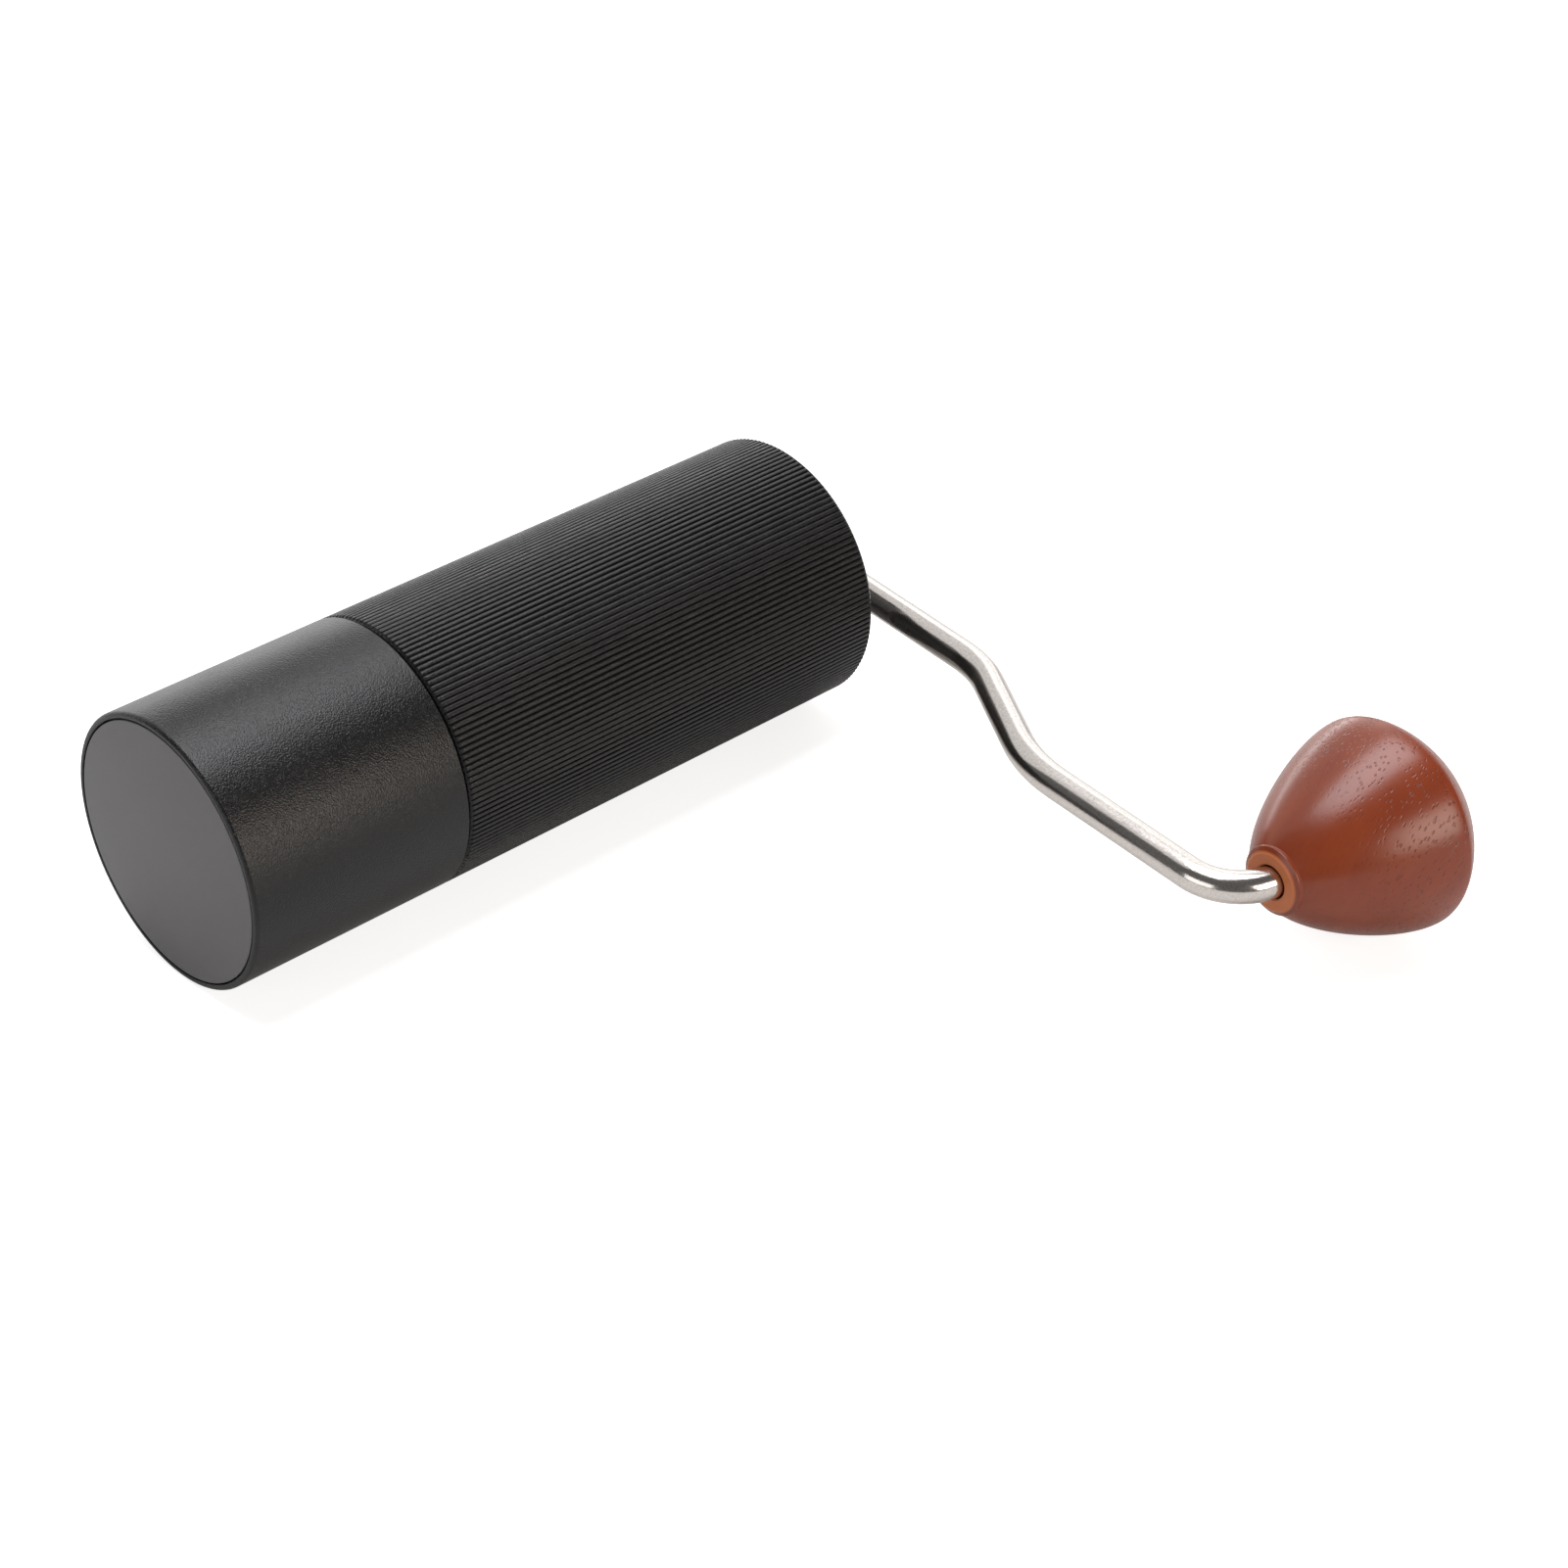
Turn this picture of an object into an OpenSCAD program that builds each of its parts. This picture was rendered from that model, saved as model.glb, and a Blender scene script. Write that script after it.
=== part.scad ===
// Hand crank coffee grinder lying on its side, in millimetres.
// Every module is drawn upright, with its base at height 0, and lay_down() then turns it so that
// +Y runs from the base to the crank, +X points to the crank's side and +Z is up.

/* [View] */
// Node to draw, or all

/* [Body] */
// Outside diameter of the body and the cup
body_d = 52; // [48:0.5:60]
// Height of the body's top edge above the base
top_h = 144; // [138:0.5:160]
// Wall of the body round the hopper
hopper_wall = 4; // [3.5:0.25:5]
// Wall of the body round the burr housing
housing_wall = 2.6; // [2.2:0.1:3]
// Number of ribs round the body
rib_count = 148; // [90:1:160]
// Depth of the grooves between the ribs
rib_depth = 0.4; // [0.2:0.05:0.6]
// Width of the grooves between the ribs
rib_gap_w = 0.42; // [0.2:0.02:0.6]
// Chamfer on the body's top and bottom edges
body_chamfer = 0.8; // [0.5:0.1:1.2]

/* [Cup] */
// Height of the cup's rim above the base
cup_h = 45.95; // [44:0.05:48]
// Dark gap between the cup and the body
seam_gap = 0.4; // [0.3:0.05:0.8]
// Thickness of the cup's wall
cup_wall = 2.3; // [1.8:0.1:2.5]
// Thickness of the cup's floor above the disc
cup_floor_t = 2; // [1.5:0.5:4]
// Rounding of the cup's outer bottom edge
cup_round = 0.8; // [0.4:0.1:1.2]
// Chamfer on the cup's top edge
cup_chamfer = 0.3; // [0.2:0.1:0.5]
// Width of the cup's rim round the disc let into its base
base_rim_w = 1.2; // [1:0.1:2]
// Thickness of the disc let into the base
base_disc_t = 2; // [1:0.5:3]
// Gap round the disc
base_disc_gap = 0.3; // [0.2:0.05:0.5]
// Distance the burr housing reaches down into the cup
spigot_l = 7.95; // [7.5:0.05:9]
// Thickness of the gasket over the cup's rim
gasket_t = 1.2; // [1:0.1:1.6]
// Width of the gasket
gasket_w = 1.35; // [1.2:0.05:1.4]
// Thickness of the seal ring on the spigot
cup_ring_d = 1.8; // [1.6:0.1:2]

/* [Burrs] */
// Outside diameter of the ring burr
ring_burr_d = 38; // [36:0.5:39]
// Height of the ring burr
ring_burr_h = 12; // [11:0.5:13]
// Distance the ring burr reaches down into the cup
burr_drop = 1.95; // [1.2:0.05:2.5]
// Diameter of the cone burr at its foot
cone_burr_d = 31.2; // [30:0.2:32]
// Diameter of the cone burr at its top
cone_top_d = 16; // [15:0.5:18]
// Height of the cone burr
cone_burr_h = 14.6; // [13:0.2:16]
// Gap between the burrs at the finest setting
burr_gap = 0.4; // [0.3:0.05:0.8]
// Diameter of the passage above the burrs
throat_d = 33; // [31:0.5:34]
// Number of fine teeth on each burr
fine_teeth = 36; // [24:1:48]
// Number of feed grooves on each burr
feed_teeth = 7; // [5:1:9]
// Depth of the fine teeth
fine_depth = 0.6; // [0.3:0.1:0.8]
// Depth of the feed grooves
feed_depth = 1.6; // [1:0.1:2]
// Slant of the fine teeth and of the cone's feed grooves, in degrees
tooth_skew = 12; // [5:1:20]
// Slant of the ring burr's feed grooves, in degrees
feed_skew = 20; // [10:1:30]
// Widening of the ring burr from its waist to its top
ring_flare = 1.8; // [1:0.1:2.5]
// Distance the dial can lower the cone burr
feed_travel = 1.5; // [0.75:0.25:2]

/* [Drive] */
// Diameter of the drive shaft
shaft_d = 8; // [7:0.5:9]
// Width across the shaft's two flats
shaft_flats_w = 6.2; // [6.1:0.1:6.6]
// Diameter of the threaded end that carries the dial
thread_d = 6; // [5:0.5:6]
// Width across the crank's hexagon
hex_w = 7; // [6:0.25:7.5]
// Distance from the body's top edge down to the shaft's top
shaft_drop = 7; // [6.5:0.25:8]
// Length of thread left below the dial at its lowest setting
thread_tail_l = 4; // [3:0.5:6]
// Diameter of the collars that the bearings stop against
collar_d = 10.4; // [10:0.2:11]
// Height of each collar
collar_h = 1.5; // [1:0.5:2]
// Outside diameter of the bearings
bearing_d = 16; // [15:0.5:17]
// Width of the bearings
bearing_w = 5; // [4.5:0.5:6]
// Diameter of the bearing balls
ball_d = 2; // [1.8:0.1:2.1]
// Number of balls in each bearing
ball_count = 9; // [7:1:9]
// Room between the ring burr and the lower bearing
bearing_room = 10; // [9:0.5:12]
// Length of the hopper liner that stands in the burr housing
liner_lap = 3; // [2:0.5:5]
// Distance from the body's top edge down to the upper bridge
bridge_depth = 16.5; // [16:0.25:18]
// Outside diameter of the bridge bosses
boss_d = 20; // [19:0.5:22]
// Width of the bridge arms
bridge_arm_w = 6; // [4:0.5:7]
// Width of the bridge rings
bridge_ring_w = 1.7; // [1.5:0.1:2]
// Thickness of the hopper liner
liner_t = 1; // [0.8:0.1:1.5]
// Lip that each bearing stops against
bearing_lip_t = 1.5; // [1.5:0.25:2]

/* [Dial] */
// Diameter of the grind dial
dial_d = 24; // [20:0.5:26]
// Height of the grind dial
dial_h = 6.8; // [6:0.2:7]
// Number of grip notches round the dial
dial_notches = 30; // [18:1:36]
// Radius of the dial's ring of clicks
click_r = 8.5; // [8:0.25:9]
// Number of clicks in a turn
click_count = 24; // [12:1:30]
// Diameter of the click ball
click_ball_d = 2.4; // [2:0.1:2.6]
// Thickness of the click plate
click_plate_t = 1.6; // [1.5:0.1:2]

/* [Crank] */
// Diameter of the crank's steel rod
rod_d = 6; // [5:0.25:6.5]
// Height over the body's top edge at which the rod's first leg would meet the shaft's axis
arm_over = 7; // [6.5:0.1:9]
// Fall of the two long legs, and lean of the knob's axis, in degrees
arm_fall = 3.3; // [0:0.1:6]
// Fall of the short leg between them, in degrees
drop_fall = 29.8; // [20:0.2:40]
// Distance from the shaft to the first bend
first_bend_r = 50.5; // [40:0.5:55]
// Distance from the shaft to the second bend
second_bend_r = 78.2; // [70:0.1:90]
// Distance from the shaft to the corner of the last bend
crank_r = 129.25; // [120:0.25:140]
// Bend radius over the hub
hub_bend = 8; // [7:0.5:9]
// Bend radius of the first bend
first_bend = 23.5; // [18:0.5:28]
// Bend radius of the second bend
second_bend = 31; // [20:0.5:35]
// Bend radius below the knob
knob_bend = 10.6; // [10:0.2:12]
// Diameter of the crank's hub
hub_d = 13; // [12:0.5:14]
// Distance the hub stands off the snap ring over the bridge
hub_gap = 0.2; // [0.1:0.1:0.5]
// Diameter of the pin through the hub
hub_pin_d = 2; // [1.5:0.25:2.5]

/* [Knob] */
// Largest diameter of the knob
knob_d = 40; // [36:0.5:44]
// Distance from the corner of the rod's last bend to the knob's mouth
knob_lift = 9.2; // [8.5:0.1:12]
// Length of the knob
knob_l = 41.5; // [36:0.1:50]
// Place of the widest ring along the knob, as a share of its length
knob_wide_share = 0.695; // [0.6:0.005:0.75]
// Fullness of the flare half way to the widest ring
flare_fullness = 0.55; // [0.4:0.05:0.9]
// Place of that fullness along the flare
flare_place = 0.24; // [0.15:0.01:0.5]
// Softness of the turn into the widest ring
wide_softness = 0.2; // [0.05:0.01:0.3]
// Softness of the turn into the rounded end
dome_softness = 0.13; // [0.05:0.01:0.4]
// Fullness of the rounded end
dome_fullness = 0.57; // [0.3:0.01:0.8]
// Diameter of the knob's neck
knob_neck_d = 12.9; // [12:0.1:15]
// Diameter of the flat face round the knob's mouth
knob_face_d = 10.6; // [10:0.1:12]
// Diameter of the raised ring behind that face
knob_ring_d = 13.1; // [12.4:0.1:15]
// Height of the raised ring
knob_ring_h = 1.1; // [0.5:0.1:1.5]
// Width of the groove between the raised ring and the flare
knob_groove_w = 0.4; // [0.3:0.1:1.2]
// Gap round the rod in the knob's mouth
knob_hole_gap = 0.4; // [0.4:0.05:1]
// Depth of the hole in the knob's mouth
knob_hole_depth = 1.6; // [1.5:0.1:4]
// Wall of the knob's bushing
bushing_wall = 1.25; // [1:0.05:1.5]
// Distance from the rod's end to the knob's far end
knob_cover = 11; // [9:0.5:14]
// Diameter of the washer on the rod's end
knob_washer_d = 10; // [9:0.5:10.5]
// Thickness of the washer on the rod's end
knob_washer_t = 0.8; // [0.5:0.1:1.2]
// Diameter of the bore behind the washer
knob_bore_d = 11.2; // [11.2:0.1:12]
// Thickness of the screw's head
screw_head_t = 2.2; // [1.5:0.1:2.5]
// Diameter of the screw's head
screw_head_d = 6.8; // [6:0.1:7]
// Diameter of the screw's shank
screw_d = 3; // [2.5:0.25:3.5]
// Depth the screw reaches into the rod
screw_l = 8; // [6:0.5:10]
// Room over the screw's head
screw_room = 1.5; // [1:0.25:2.5]

/* [Lid] */
// Wall of the body round the lid
lid_wall = 2.7; // [2.4:0.1:3.2]
// Depth of the recess below the top edge
lid_recess_depth = 5; // [4:0.5:6]
// Thickness of the lid
lid_t = 3; // [2.5:0.5:3.5]
// Thickness of the lid's seal
lid_seal_d = 1.4; // [1.2:0.1:1.6]

/* [Small parts] */
// Thickness of the snap rings
snap_t = 1.2; // [0.8:0.1:1.5]
// Depth of the snap ring grooves in the bores
snap_depth = 1.1; // [0.8:0.1:1.2]
// Width of the snap rings
snap_w = 2.6; // [2:0.1:3]
// Opening in the snap rings
snap_opening_w = 6; // [4:0.5:8]
// Wire diameter of the burr spring
spring_wire_d = 0.8; // [0.5:0.1:1]
// Turns of the burr spring
spring_turns = 4; // [3:0.5:5]
// Thickness of the washer over the burr spring
spring_washer_t = 0.8; // [0.5:0.1:1]
// Wire diameter of the click spring
click_wire_d = 0.4; // [0.3:0.05:0.5]
// Turns of the click spring
click_turns = 5; // [4:1:6]
// Thickness of the rings clipped to the shaft and the hub
clip_t = 1; // [0.8:0.1:1.2]

/* [Fits] */
// Radial clearance of a turning or sliding fit
run_fit = 0.05; // [0.03:0.01:0.1]
// Radial clearance of a piece pressed or dropped into its seat
seat_fit = 0.02; // [0.01:0.01:0.05]
// Clearance between pieces that pass without touching
free_gap = 0.3; // [0.2:0.05:0.5]

/* [Hidden] */
$fn = 72;
over = 1;
clip_depth = 0.6;
bend_swell = 0.02;
bend_lap = 0.3;
bend_gap = 0.11;
arm_t = 4;
ball_facets = 20;
seal_place = 1.6;
waist_place = 0.46;
funnel_gap = 0.5;
funnel_l = 4;
race_share = 0.6;
spring_seat = 1;
spring_play = 0.3;
spring_foot_t = 2;
clip_w = 1.5;
plate_rim_w = 0.8;
pin_rise = 0.6;
pin_inset = 0.5;
dial_step_h = 1;
dial_boss_share = 0.6;
notch_r = 1;
notch_set = 0.5;
click_notch_w = 0.6;
clip_gap = 0.1;
rod_foot_gap = 1;
shaft_tail_l = 1;
body_r = body_d / 2;
rib_pitch = 360 / rib_count;
body_foot_h = cup_h + seam_gap;
hopper_r = body_r - hopper_wall;
housing_bore_r = body_r - housing_wall;
housing_r = housing_bore_r - seat_fit;
spigot_foot_h = cup_h - spigot_l;
cup_bore_r = body_r - cup_wall;
disc_r = body_r - base_rim_w - base_disc_gap;
cup_ring_mid_r = cup_bore_r - run_fit - cup_ring_d / 2;
cup_ring_mid_h = spigot_foot_h + seal_place * cup_ring_d;
gasket_in_r = housing_bore_r + run_fit;
gasket_r = gasket_in_r + gasket_w;
burr_r = ring_burr_d / 2;
ring_burr_base = cup_h - burr_drop;
ring_burr_top = ring_burr_base + ring_burr_h;
cone_foot_r = cone_burr_d / 2;
cone_top_r = cone_top_d / 2;
cone_slope = (cone_foot_r - cone_top_r) / cone_burr_h;
cone_foot_h = ring_burr_base - 0.5 * snap_t;
cone_top_h = cone_foot_h + cone_burr_h;
waist_h = ring_burr_base + waist_place * ring_burr_h;
throat_r = throat_d / 2;
lower_bearing_h = ring_burr_top + bearing_room;
funnel_h = lower_bearing_h - bearing_lip_t - funnel_gap;
funnel_foot_h = funnel_h - funnel_l;
bridge_in_r = hopper_r - bridge_ring_w;
shaft_r = shaft_d / 2;
thread_r = thread_d / 2;
ball_r = ball_d / 2;
bearing_r = bearing_d / 2;
ball_track_r = (shaft_r + bearing_r) / 2;
race_gap_r = race_share * ball_r;
cage_t = 0.5 * ball_r;
cage_h = 3 * ball_r;
lip_bore_r = ball_track_r + 0.5 * ball_r;
lower_bridge_h = funnel_h;
lower_bearing_top = lower_bearing_h + bearing_w;
housing_top_h = lower_bearing_top + liner_lap;
liner_foot_h = lower_bearing_top;
upper_bridge_top = top_h - bridge_depth;
upper_bearing_top = upper_bridge_top - bearing_lip_t;
upper_bearing_h = upper_bearing_top - bearing_w;
upper_bridge_h = upper_bearing_h - 1;
snap_groove_r = hopper_r + snap_depth;
burr_groove_r = burr_r + snap_depth;
burr_snap_h = ring_burr_base - snap_t;
plate_h = cone_foot_h - click_plate_t;
plate_r = click_r + click_ball_d / 2 + plate_rim_w;
dial_r = dial_d / 2;
dial_foot_h = plate_h - dial_h;
click_ball_h = plate_h - click_ball_d / 6;
click_track_r = click_ball_d / 2 + run_fit;
click_spring_foot = dial_foot_h + spring_foot_t;
spring_foot_h = cone_top_h - spring_seat;
spring_top_h = lower_bearing_h - spring_washer_t;
spring_r = shaft_r + free_gap + spring_wire_d / 2 + spring_play;
shaft_foot_h = dial_foot_h - feed_travel - clip_t - thread_tail_l;
shaft_clip_h = shaft_foot_h + shaft_tail_l;
shaft_top_h = top_h - shaft_drop;
hex_r = hex_w / 2 / cos(30);
hub_r = hub_d / 2;
rod_r = rod_d / 2;
rod_foot_h = shaft_top_h + rod_foot_gap;
arm_h = top_h + arm_over;
hub_foot_h = upper_bridge_top + snap_t + hub_gap;
hub_top_h = arm_h - hub_bend * tan((90 + arm_fall) / 2) - bend_gap;
hub_pin_h = (rod_foot_h + hub_top_h) / 2 + pin_rise;
first_bend_h = arm_h - tan(arm_fall) * first_bend_r;
second_bend_h = first_bend_h - tan(drop_fall) * (second_bend_r - first_bend_r);
knob_bend_h = second_bend_h - tan(arm_fall) * (crank_r - second_bend_r);
knob_r = knob_d / 2;
knob_reach = crank_r + sin(arm_fall) * (knob_lift + knob_wide_share * knob_l);
arm_tilt = asin((body_r - knob_r) / knob_reach);
knob_mouth_h = knob_bend_h + knob_lift;
knob_end_h = knob_mouth_h + knob_l;
knob_wide_h = knob_mouth_h + knob_wide_share * knob_l;
knob_ring_top = knob_mouth_h + knob_ring_h;
knob_neck_h = knob_ring_top + knob_groove_w;
knob_hole_r = rod_r + knob_hole_gap;
bushing_r = rod_r + run_fit + bushing_wall;
rod_end_h = knob_end_h - knob_cover;
bushing_foot_h = knob_mouth_h + knob_hole_depth;
bushing_top_h = rod_end_h - 0.2;
screw_foot_h = rod_end_h - screw_l;
cap_foot_h = rod_end_h + knob_washer_t + screw_head_t + screw_room;
lid_recess_r = body_r - lid_wall;
lid_foot_h = top_h - lid_recess_depth;
lid_r = lid_recess_r - free_gap;
lid_seal_mid_r = lid_recess_r - run_fit - lid_seal_d / 2;
lid_seal_h = lid_foot_h + lid_t / 2;
hub_clip_h = lid_foot_h - clip_t - clip_gap;

// shared shapes

module lay_down() {
    rotate([-90, 0, 0]) children();
}

// turns a piece drawn with its arm along +X down to the crank's resting angle
module at_arm() {
    rotate([0, 0, arm_tilt]) children();
}

// leans a piece drawn on the crank's axis, turning it about the corner of the last bend
module on_knob_axis() {
    translate([crank_r, 0, knob_bend_h]) rotate([0, arm_fall, 0])
        translate([0, 0, -knob_bend_h]) children();
}

module at_knob() {
    at_arm() on_knob_axis() children();
}

module drum(r, foot, top) {
    translate([0, 0, foot]) cylinder(r = r, h = top - foot);
}

module tube(r, bore, foot, top) {
    difference() {
        drum(r, foot, top);
        drum(bore, foot - over, top + over);
    }
}

// solid ring of round section
module round_ring(mid_r, section_r, mid_h) {
    translate([0, 0, mid_h]) rotate_extrude() translate([mid_r, 0]) circle(r = section_r, $fn = 24);
}

// what a 45 degree chamfer takes off an outer edge; side is 1 at a top edge and -1 at a foot
module edge_cut(r, size, edge_h, side) {
    translate([0, 0, edge_h]) rotate_extrude() polygon([
        [r + over, side * over], [r - size - over, side * over], [r + over, -side * (size + over)]
    ]);
}

// ring with an opening, as clipped into a groove
module snap_ring(r, w, foot, t, opening) {
    difference() {
        tube(r, r - w, foot, foot + t);
        translate([0, -opening / 2, foot - over]) cube([r + over, opening, t + 2 * over]);
    }
}

// ring clipped into a groove round a bar of radius r
module clip_ring(r, foot) {
    snap_ring(r + clip_w, clip_w + clip_depth - seat_fit, foot, clip_t, r);
}

// round bar with two flats
module flats(r, w, foot, top) {
    intersection() {
        drum(r, foot, top);
        translate([-w / 2, -r - over, foot]) cube([w, 2 * (r + over), top - foot]);
    }
}

// coil of round wire, as a closed tube of flat facets
module coil(mid_r, wire_d, foot, top, turns, steps, sides) {
    count = turns * steps;
    rise = (top - foot - wire_d) / count;
    ring = [for (i = [0:count], j = [0:sides - 1])
        let(a = 360 * i / steps, b = 360 * j / sides, r = mid_r + cos(b) * wire_d / 2)
        [r * cos(a), r * sin(a), foot + wire_d / 2 + i * rise + sin(b) * wire_d / 2]];
    sides_list = [for (i = [0:count - 1], j = [0:sides - 1])
        let(k = (j + 1) % sides)
        [i * sides + j, i * sides + k, (i + 1) * sides + k, (i + 1) * sides + j]];
    first_end = [[for (j = [0:sides - 1]) sides - 1 - j]];
    last_end = [[for (j = [0:sides - 1]) count * sides + j]];
    polyhedron(points = ring, faces = concat(sides_list, first_end, last_end), convexity = 6);
}

// body

module rib_section() {
    difference() {
        circle(r = body_r, $fn = 2 * rib_count);
        for (i = [0:rib_count - 1])
            rotate(i * rib_pitch) translate([body_r - rib_depth, -rib_gap_w / 2])
                square([rib_depth + over, rib_gap_w]);
    }
}

module body_sleeve() {
    color("#1c1c1e") difference() {
        translate([0, 0, body_foot_h]) linear_extrude(top_h - body_foot_h) rib_section();
        edge_cut(body_r, body_chamfer, top_h, 1);
        edge_cut(body_r, rib_depth + 0.1, body_foot_h, -1);
        drum(hopper_r, body_foot_h - over, top_h + over);
        drum(housing_bore_r, body_foot_h - over, housing_top_h);
        drum(gasket_r + seat_fit, body_foot_h - over, cup_h + gasket_t);
        drum(snap_groove_r, upper_bridge_top, upper_bridge_top + snap_t);
        drum(lid_recess_r, lid_foot_h, top_h + over);
    }
}

module burr_housing() {
    color("#2b2b2d") difference() {
        drum(housing_r, spigot_foot_h, housing_top_h);
        drum(burr_r + seat_fit, spigot_foot_h - over, ring_burr_top);
        drum(burr_groove_r, burr_snap_h, ring_burr_base);
        drum(throat_r, spigot_foot_h, housing_top_h);
        translate([0, 0, funnel_foot_h])
            cylinder(r1 = throat_r, r2 = bridge_in_r, h = funnel_h - funnel_foot_h);
        drum(hopper_r, lower_bridge_h, housing_top_h + over);
        round_ring(cup_ring_mid_r, cup_ring_d / 2, cup_ring_mid_h);
        tube(
            housing_r + over, cup_ring_mid_r,
            cup_ring_mid_h - cup_ring_d / 2, cup_ring_mid_h + cup_ring_d / 2
        );
    }
}

// slanted groove cutter laid along a burr's cone
module tooth_groove(r, h, lean, skew, w, l) {
    translate([r, 0, h]) rotate([skew, 0, 0]) rotate([0, lean, 0]) rotate([0, 0, 45])
        translate([-w / 2, -w / 2, -l / 2]) cube([w, w, l]);
}

module ring_burr() {
    waist_r = cone_foot_r - cone_slope * (waist_h - cone_foot_h) + burr_gap;
    mouth_r = cone_foot_r - cone_slope * (ring_burr_base - cone_foot_h) + burr_gap;
    top_r = waist_r + ring_flare;
    lean = atan(cone_slope);
    color("#8d8f93") difference() {
        rotate_extrude() polygon([
            [mouth_r, ring_burr_base], [burr_r, ring_burr_base], [burr_r, ring_burr_top],
            [top_r, ring_burr_top], [waist_r, waist_h]
        ]);
        for (i = [0:fine_teeth - 1])
            rotate([0, 0, i * 360 / fine_teeth])
                tooth_groove(
                    mouth_r, ring_burr_base, -lean, tooth_skew,
                    fine_depth * sqrt(2), 2 * (waist_h - ring_burr_base)
                );
        for (i = [0:feed_teeth - 1])
            rotate([0, 0, (i + 0.5) * 360 / feed_teeth])
                tooth_groove(
                    top_r, ring_burr_top, atan(ring_flare / (ring_burr_top - waist_h)), -feed_skew,
                    feed_depth * sqrt(2), ring_burr_h
                );
    }
}

module cone_burr() {
    lean = atan(cone_slope);
    mid_r = (cone_foot_r + cone_top_r) / 2;
    mid_h = cone_foot_h + cone_burr_h / 2;
    color("#7f8185") difference() {
        translate([0, 0, cone_foot_h]) cylinder(r1 = cone_foot_r, r2 = cone_top_r, h = cone_burr_h);
        flats(shaft_r + run_fit, shaft_flats_w + 2 * run_fit, cone_foot_h - over, cone_top_h + over);
        drum(spring_r + spring_wire_d, spring_foot_h, cone_top_h + over);
        for (i = [0:fine_teeth - 1])
            rotate([0, 0, i * 360 / fine_teeth])
                tooth_groove(
                    cone_foot_r, cone_foot_h, -lean, tooth_skew,
                    fine_depth * sqrt(2), 0.7 * cone_burr_h
                );
        for (i = [0:feed_teeth - 1])
            rotate([0, 0, (i + 0.5) * 360 / feed_teeth])
                tooth_groove(mid_r, mid_h, -lean, tooth_skew, feed_depth * sqrt(2), 3 * cone_burr_h);
    }
}

module burr_snap_ring() {
    color("#a8aaae") snap_ring(burr_groove_r, snap_w, burr_snap_h, snap_t, snap_opening_w);
}

module bridge_snap_ring() {
    color("#a8aaae") snap_ring(snap_groove_r, snap_w, upper_bridge_top, snap_t, snap_opening_w);
}

// ring, three arms and boss that hold a bearing
module bridge(foot, top, pocket_foot, pocket_top, arm_foot, arm_top) {
    difference() {
        union() {
            tube(hopper_r - seat_fit, bridge_in_r, foot, top);
            drum(boss_d / 2, foot, top);
            for (i = [0:2])
                rotate([0, 0, 90 + i * 120]) translate([0, -bridge_arm_w / 2, arm_foot])
                    cube([bridge_in_r + bridge_ring_w / 2, bridge_arm_w, arm_top - arm_foot]);
        }
        drum(bearing_r, pocket_foot, pocket_top);
        drum(lip_bore_r, foot - over, top + over);
    }
}

module lower_bridge() {
    color("#3a3a3d") bridge(
        lower_bridge_h, lower_bearing_top,
        lower_bearing_h, lower_bearing_top + over, lower_bridge_h, lower_bridge_h + arm_t
    );
}

module upper_bridge() {
    color("#3a3a3d") bridge(
        upper_bridge_h, upper_bridge_top,
        upper_bridge_h - over, upper_bearing_top, upper_bridge_h, upper_bridge_h + arm_t
    );
}

module hopper_liner() {
    color("#b9bbbe") tube(hopper_r - seat_fit, hopper_r - liner_t, liner_foot_h, upper_bridge_h);
}

// bearings

module bearing_outer(foot) {
    difference() {
        tube(bearing_r - seat_fit, ball_track_r + race_gap_r, foot, foot + bearing_w);
        round_ring(ball_track_r, ball_r + run_fit, foot + bearing_w / 2);
    }
}

module bearing_inner(foot) {
    difference() {
        tube(ball_track_r - race_gap_r, shaft_r + seat_fit, foot, foot + bearing_w);
        round_ring(ball_track_r, ball_r + run_fit, foot + bearing_w / 2);
    }
}

module bearing_balls(foot) {
    for (i = [0:ball_count - 1])
        rotate([0, 0, i * 360 / ball_count]) translate([ball_track_r, 0, foot + bearing_w / 2])
            sphere(r = ball_r, $fn = ball_facets);
}

module bearing_cage(foot) {
    mid = foot + bearing_w / 2;
    difference() {
        tube(ball_track_r + cage_t / 2, ball_track_r - cage_t / 2, mid - cage_h / 2, mid + cage_h / 2);
        for (i = [0:ball_count - 1])
            rotate([0, 0, i * 360 / ball_count]) translate([ball_track_r - cage_t, 0, mid])
                rotate([0, 90, 0]) cylinder(r = ball_r + run_fit, h = 2 * cage_t, $fn = ball_facets);
    }
}

module lower_bearing_outer() {
    color("#c3c5c8") bearing_outer(lower_bearing_h);
}

module upper_bearing_outer() {
    color("#c3c5c8") bearing_outer(upper_bearing_h);
}

module lower_bearing_inner() {
    color("#c3c5c8") bearing_inner(lower_bearing_h);
}

module upper_bearing_inner() {
    color("#c3c5c8") bearing_inner(upper_bearing_h);
}

module lower_bearing_balls() {
    color("#d4d6d9") bearing_balls(lower_bearing_h);
}

module upper_bearing_balls() {
    color("#d4d6d9") bearing_balls(upper_bearing_h);
}

module lower_bearing_cage() {
    color("#b08a3e") bearing_cage(lower_bearing_h);
}

module upper_bearing_cage() {
    color("#b08a3e") bearing_cage(upper_bearing_h);
}

// drive shaft and grind dial

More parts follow.
